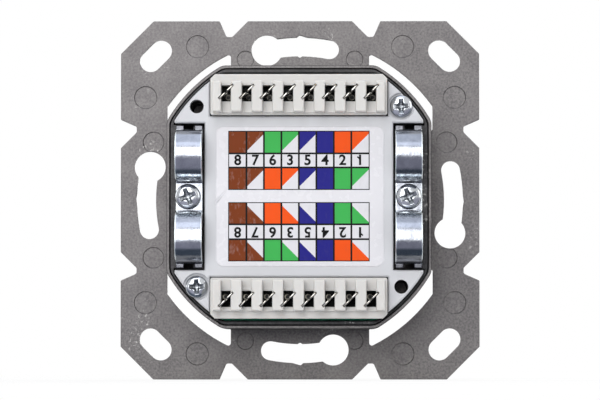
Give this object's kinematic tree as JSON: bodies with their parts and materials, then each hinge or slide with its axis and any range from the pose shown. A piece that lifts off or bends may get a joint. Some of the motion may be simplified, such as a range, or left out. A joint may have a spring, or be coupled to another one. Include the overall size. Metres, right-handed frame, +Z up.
{
  "type": "twin network wall socket insert",
  "caption": "Flush-mounted twin network wall socket insert with a cast mounting plate, terminal blocks, cable clamps and slanted ports.",
  "frame": {"origin": "centre of the mounting plate's back face, on the socket's middle axis", "axes": "+Z up on the wall, +Y into the wall box, -Y towards the room"},
  "size_m": [0.0702, 0.0338, 0.0702],
  "materials": {
    "cast_zinc": "die-cast zinc alloy, blasted, dull grey",
    "carrier_zinc": "die-cast zinc alloy, as cast",
    "board": "glass-epoxy board with green solder resist",
    "cover_plastic": "moulded, fine satin",
    "label_film": "printed film label",
    "block_plastic": "moulded glass-filled plastic, satin",
    "screw_steel": "bright zinc-plated steel",
    "clamp_steel": "bright nickel-plated steel strip",
    "tinned_bronze": "tin-plated bronze strip",
    "shield_sheet": "nickel-plated sheet",
    "jack_plastic": "moulded black plastic",
    "gold_plate": "gold-plated bronze wire"
  },
  "bodies": {
    "root": {"support_frame": "cast_zinc", "clamp_carrier": "carrier_zinc", "circuit_board": "board", "rear_cover": "cover_plastic", "wiring_label": "label_film", "terminal_block_upper": "block_plastic", "cover_screw_upper": "screw_steel", "idc_contact_upper_1": "tinned_bronze", "idc_contact_upper_2": "tinned_bronze", "idc_contact_upper_3": "tinned_bronze", "idc_contact_upper_4": "tinned_bronze", "idc_contact_upper_5": "tinned_bronze", "idc_contact_upper_6": "tinned_bronze", "idc_contact_upper_7": "tinned_bronze", "idc_contact_upper_8": "tinned_bronze", "terminal_block_lower": "block_plastic", "cover_screw_lower": "screw_steel", "idc_contact_lower_1": "tinned_bronze", "idc_contact_lower_2": "tinned_bronze", "idc_contact_lower_3": "tinned_bronze", "idc_contact_lower_4": "tinned_bronze", "idc_contact_lower_5": "tinned_bronze", "idc_contact_lower_6": "tinned_bronze", "idc_contact_lower_7": "tinned_bronze", "idc_contact_lower_8": "tinned_bronze", "cable_clamp_left": "clamp_steel", "clamp_screw_left": "screw_steel", "jack_shield_left": "shield_sheet", "jack_body_left": "jack_plastic", "jack_contact_left_1": "gold_plate", "jack_contact_left_2": "gold_plate", "jack_contact_left_3": "gold_plate", "jack_contact_left_4": "gold_plate", "jack_contact_left_5": "gold_plate", "jack_contact_left_6": "gold_plate", "jack_contact_left_7": "gold_plate", "jack_contact_left_8": "gold_plate", "cable_clamp_right": "clamp_steel", "clamp_screw_right": "screw_steel", "jack_shield_right": "shield_sheet", "jack_body_right": "jack_plastic", "jack_contact_right_1": "gold_plate", "jack_contact_right_2": "gold_plate", "jack_contact_right_3": "gold_plate", "jack_contact_right_4": "gold_plate", "jack_contact_right_5": "gold_plate", "jack_contact_right_6": "gold_plate", "jack_contact_right_7": "gold_plate", "jack_contact_right_8": "gold_plate"}
  },
  "joints": []
}
